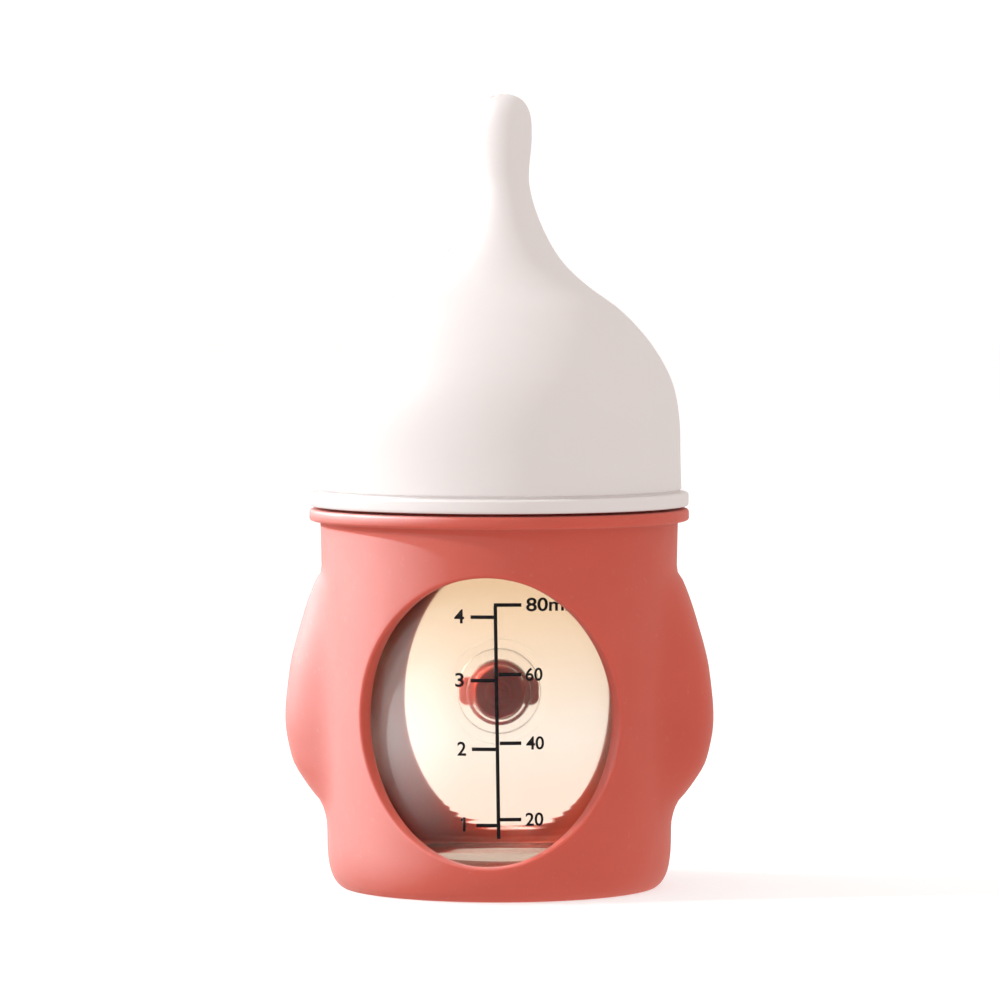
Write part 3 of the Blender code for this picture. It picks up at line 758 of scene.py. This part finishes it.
WIDTH = 0.56
marks = [bar(-WIDTH / 2, WIDTH / 2, 9.9, 46.3 - WIDTH / 2, True)]
for z, left, right in ((46.3, -0.35, 3.4), (35.5, -0.12, 3.4), (24.8, 0.05, 3.4), (12.9, 0.1, 3.4),
                       (44.4, -4.5, -0.9), (34.55, -4.5, -0.75), (23.85, -4.3, -0.6), (11.98, -3.6, -0.42)):
    marks.append(bar(left - (0.54 if z == 46.3 else 0.0), right, z - WIDTH / 2, z + WIDTH / 2, False))
marks += [label("80ml", 4.15, 11.0, 46.35, 2.15), label("60", 4.05, 6.75, 35.5, 2.1),
          label("40", 4.15, 7.0, 24.8, 2.1), label("20", 4.05, 6.9, 12.9, 2.1),
          label("4", -7.1, -5.5, 44.5, 2.2), label("3", -6.95, -5.55, 34.6, 2.2),
          label("2", -6.6, -5.2, 23.9, 2.2)]
marks += [bar(-5.72, -5.3, 11.0, 13.2, False), bar(-6.05, -5.72, 12.62, 12.98, False)]
scale = turn_with_bottle(join(marks, "printed_scale"))
dress(scale, INK, "bottle", "clear_plastic")


# ---------------------------------------------------------------- vent plug
def make_plug():
    seat = POCKET_FLOOR + GAP * 0.8
    head = seat + 0.75
    inside = PORT_RING_IN - 0.2
    stem = PORT_HOLE_R - GAP
    profile = [(0.0, inside + 1.0), (1.4, inside + 1.0), (1.5, seat - 0.6), (1.6, head + 0.25), (3.4, head + 0.25),
               (4.3, head), (5.2, head), (5.2, seat), (stem, seat), (stem, inside), (2.45, inside),
               (2.3, inside - 0.55), (1.55, inside - 0.55), (1.35, inside + 0.15), (0.65, inside + 0.2),
               (0.6, inside + 0.5), (0.0, inside + 0.5)]
    soft = {i + 1: r for i, r in enumerate((0.1, 0.2, 0.3, 0.3, 0.3, 0.2, 0.2, 0.1, 0.5, 0.2, 0.2, 0.2, 0.1, 0.15, 0.1))}
    plug = lathe(rounded(profile, soft), 72, "plug", closed=False)
    plug.data.transform(Matrix.Translation((0, 0, PORT_Z * MM)) @ Matrix.Rotation(-math.pi / 2, 4, "X"))
    for side in (-1, 1):
        shape = bmesh.new()
        bmesh.ops.create_cube(shape, size=1.0)
        bmesh.ops.scale(shape, verts=shape.verts, vec=(3.4 * MM, 0.7 * MM, 4.6 * MM))
        bmesh.ops.translate(shape, verts=shape.verts, vec=(side * 5.0 * MM, (seat + 0.38) * MM, PORT_Z * MM))
        upright = [e for e in shape.edges
                   if abs(e.verts[0].co.y - e.verts[1].co.y) > 0.5 * MM and side * e.verts[0].co.x > 6 * MM]
        bmesh.ops.bevel(shape, geom=upright, offset=1.4 * MM, segments=10, affect="EDGES", profile=0.5)
        cut(plug, to_object(shape, "tab", 0), "UNION")
    plug.data.shade_smooth()
    plug.data.set_sharp_from_angle(angle=math.radians(40))
    return turn_with_bottle(plug)


plug = dress(make_plug(), PLUG_CORAL_PAINTED_SHADE, "plug", "plug_silicone", "vent_plug")


# ---------------------------------------------------------------- teat, collar and cap
def make_teat():
    low = LIP_TOP + GAP
    high = COLLAR_TOP - COLLAR_PLATE - GAP
    neck = COLLAR_HOLE_R - GAP
    over = COLLAR_TOP + GAP
    outer = [(TEAT_HOLE_R, TEAT_TIP_Z)]
    outer += bend((1.4, TEAT_TIP_Z), (5.0, TEAT_TIP_Z - 0.1), (5.35, TEAT_TIP_Z - 4.4), 10)
    outer += through(((5.35, 94.0), (5.55, 91.4), (7.1, 88.2), (10.2, 85.2), (14.0, 82.4), (17.0, 79.4),
                      (18.45, 77.0)), 5)
    outer += [(18.5, over + 0.25), (18.2, over), (neck, over - 0.05), (neck, high + 0.05),
              (TEAT_FLANGE_R - 0.25, high), (TEAT_FLANGE_R, high - 0.25), (TEAT_FLANGE_R, low + 0.25),
              (TEAT_FLANGE_R - 0.25, low)]
    inner = [(16.0, low), (15.6, low + 0.4), (15.7, 75.4)]
    inner += through(((16.1, 77.0), (15.3, 79.0), (12.6, 81.6), (9.0, 84.2), (6.1, 86.8), (4.3, 90.0), (4.0, 93.4)), 5)
    inner += bend((4.0, TEAT_TIP_Z - 4.6), (3.8, TEAT_TIP_Z - 1.6), (1.2, TEAT_TIP_Z - 1.5), 8)
    inner += [(TEAT_HOLE_R, TEAT_TIP_Z - 1.4)]
    return lathe(outer + inner, 96, "teat_skin")


teat = dress(make_teat(), MILKY, "teat_body", "milky_silicone", "teat")


def make_collar():
    plate = COLLAR_TOP - COLLAR_PLATE
    outer = [(COLLAR_HOLE_R, COLLAR_TOP), (COLLAR_R, COLLAR_TOP), (COLLAR_R, COLLAR_TOP - 2.2)]
    outer += [(COLLAR_R, COLLAR_TOP - 2.6), (COLLAR_R, 68.0), (COLLAR_R, COLLAR_BOTTOM + 1.6),
              (COLLAR_R, COLLAR_BOTTOM + 1.2), (COLLAR_R, COLLAR_BOTTOM), (COLLAR_BORE_R, COLLAR_BOTTOM),
              (COLLAR_BORE_R, plate), (COLLAR_HOLE_R, plate)]
    profile = rounded(outer, {0: 0.4, 1: 1.0, 7: 0.4, 8: 0.5, 9: 0.4, 10: 0.3})
    ribs = 48

    def wave(r, z, turn):
        if r > COLLAR_R - 0.01 and COLLAR_BOTTOM + 1.3 < z < COLLAR_TOP - 2.4:
            r -= 0.4 * (0.5 - 0.5 * math.cos(turn * ribs)) ** 2
        return r * math.cos(turn), r * math.sin(turn), z

    obj = lathe(profile, 384, "collar_ring", wave=wave)
    cut(obj, thread("collar_thread", COLLAR_BORE_R - 0.05, THREAD_START - THREAD_PITCH / 2, 0.9, BOTTLE_TURN), "UNION")
    obj.data.shade_smooth()
    obj.data.set_sharp_from_angle(angle=math.radians(40))
    return obj


collar = dress(make_collar(), COLLAR_WHITE, "collar", "collar_plastic", "screw_collar")


def make_cap():
    side = through(CAP_SIDE, 6)
    tip = bend(CAP_SIDE[-1], (4.45, CAP_TOP - 0.1), (0.0, CAP_TOP), 14)[1:]
    up = side + tip
    outer = list(reversed(up))
    outer[-1:] = [(29.0, CAP_RIM_TOP + 0.62), (28.96, CAP_RIM_TOP + 0.5), (28.72, CAP_RIM_TOP + 0.38),
                  (28.66, CAP_RIM_TOP + 0.2), (28.72, CAP_RIM_TOP + 0.04)]
    rim = [(28.9, CAP_RIM_TOP), (29.3, CAP_RIM_TOP)]
    rim += bend((29.6, CAP_RIM_TOP), (CAP_RIM_R, CAP_RIM_TOP), (CAP_RIM_R, CAP_RIM_TOP - 0.45), 6)
    rim += bend((CAP_RIM_R, CAP_BOTTOM + 0.5), (CAP_RIM_R, CAP_BOTTOM), (CAP_RIM_R - 0.5, CAP_BOTTOM), 5)
    bore = COLLAR_R + GAP + 0.1
    seat = COLLAR_TOP + GAP
    inner = bend((bore + 0.5, CAP_BOTTOM), (bore, CAP_BOTTOM), (bore, CAP_BOTTOM + 0.5), 4)
    inner += [(bore, 68.0), (bore, seat - 0.1), (bore - 0.15, seat), (bore - 1.4, seat + 0.1)]
    high = [p for p in up if p[1] > 79.5]
    inner += [p for p in inwards(high, CAP_WALL) if p[0] > 0.25 and p[1] < CAP_TOP - CAP_WALL - 0.1]
    inner += [(0.0, CAP_TOP - CAP_WALL)]

    def wave(r, z, turn):
        t = min(1.0, max(0.0, (z - 95.5) / 9.5))
        return r * math.cos(turn) + CAP_LEAN * t * t * (3 - 2 * t), r * math.sin(turn), z

    return lathe(outer + rim + inner, 160, "cap_shell", closed=False, wave=wave)


cap = dress(make_cap(), WHITE, "cap", "white_plastic", "dust_cap")


# ---------------------------------------------------------------- stage, light and camera
def plane(name, corners):
    mesh = bpy.data.meshes.new(name)
    mesh.from_pydata(corners, [], [(0, 1, 2, 3)])
    obj = bpy.data.objects.new(name, mesh)
    bpy.context.scene.collection.objects.link(obj)
    return obj


def pale(name, colour, glow):
    mat = bpy.data.materials.new(name)
    mat.use_nodes = True
    shader = mat.node_tree.nodes["Principled BSDF"]
    shader.inputs["Base Color"].default_value = (*colour, 1.0)
    shader.inputs["Roughness"].default_value = 0.9
    shader.inputs["Specular IOR Level"].default_value = 0.1
    shader.inputs["Emission Color"].default_value = (1.0, 1.0, 1.0, 1.0)
    shader.inputs["Emission Strength"].default_value = glow
    return mat


floor = plane("floor", [(-6, -6, -0.0001), (6, -6, -0.0001), (6, 6, -0.0001), (-6, 6, -0.0001)])
floor.data.materials.append(pale("floor_paper", (0.5, 0.5, 0.5), 0.60))


def ring_wall(name, radius, height, sides):
    """A low pale wall far round the object."""
    corners = []
    for k in range(sides):
        a = math.tau * k / sides
        for z in (-0.01, height):
            corners.append((radius * math.cos(a), radius * math.sin(a), z))
    faces = [(2 * k, 2 * k + 1, (2 * k + 3) % (2 * sides), (2 * k + 2) % (2 * sides)) for k in range(sides)]
    mesh = bpy.data.meshes.new(name)
    mesh.from_pydata(corners, [], faces)
    obj = bpy.data.objects.new(name, mesh)
    bpy.context.scene.collection.objects.link(obj)
    return obj


wall = ring_wall("far_wall", 5.0, 1.3, 64)
wall.data.materials.append(pale("wall_paper", (0.5, 0.5, 0.5), 0.64))


for paper in (floor, wall):
    paper.visible_diffuse = False
    paper.visible_glossy = False

# a black card behind the camera that only reflections see
card = plane("black_card", [(-1.6, -1.5, -0.6), (1.6, -1.5, -0.6), (1.6, -1.5, 1.6), (-1.6, -1.5, 1.6)])
card.data.materials.append(pale("card_black", (0.01, 0.01, 0.01), 0.0))
for ray in ("camera", "diffuse", "transmission", "volume_scatter", "shadow"):
    setattr(card, "visible_" + ray, False)


def area(name, place, aim, size, power, colour):
    """A soft round lamp."""
    light = bpy.data.lights.new(name, "AREA")
    light.shape = "DISK"
    light.size = size
    light.energy = power
    light.color = colour
    obj = bpy.data.objects.new(name, light)
    obj.location = place
    obj.rotation_euler = (Vector(aim) - Vector(place)).to_track_quat("-Z", "Y").to_euler()
    bpy.context.scene.collection.objects.link(obj)
    return obj


def round_from_camera(degrees, distance, height):
    """A place that is this many degrees round to the left of the camera, as seen from the object."""
    a = math.radians(degrees - 4.2)
    return (-distance * math.sin(a), -distance * math.cos(a), height)


area("key", round_from_camera(81, 1.45, 0.86), (0, 0, 0.04), 0.13, 13.6, (0.95, 0.98, 1.0))
area("fill_left", round_from_camera(100, 1.0, 0.30), (0, 0, 0.06), 0.9, 1.2, (1.0, 0.98, 0.98))
# lamps that only matt and polished surfaces mirror: beside the key, behind it and in front of it
for name, turn, distance, height, size, power in (("key_gloss", 103, 1.45, 0.86, 0.07, 360.0),
                                                  ("soft_rear", 116, 0.95, 0.68, 0.6, 46.0),
                                                  ("soft_front", 60, 1.3, 0.70, 0.1, 48.0)):
    lamp = area(name, round_from_camera(turn, distance, height), (0, 0, 0.05), size, power, (0.97, 0.975, 1.0))
    lamp.visible_diffuse = False

world = bpy.data.worlds.new("studio")
world.use_nodes = True
world.node_tree.nodes["Background"].inputs["Color"].default_value = (1.0, 0.93, 0.89, 1.0)
world.node_tree.nodes["Background"].inputs["Strength"].default_value = 0.85
bpy.context.scene.world = world
bpy.context.scene.view_settings.view_transform = "Standard"

AZIMUTH, ELEVATION, DISTANCE = math.radians(4.2), math.radians(2.6), 0.895
target = Vector((0.00013, 0.0, 0.0614))
back = Vector((math.sin(AZIMUTH) * math.cos(ELEVATION), -math.cos(AZIMUTH) * math.cos(ELEVATION), math.sin(ELEVATION)))
camera_data = bpy.data.cameras.new("camera")
camera_data.lens = 202.4
camera_data.sensor_width = 36
camera_data.clip_start = 0.01
camera = bpy.data.objects.new("camera", camera_data)
camera.location = target + back * DISTANCE
camera.rotation_euler = back.to_track_quat("Z", "Y").to_euler()
bpy.context.scene.collection.objects.link(camera)
bpy.context.scene.camera = camera
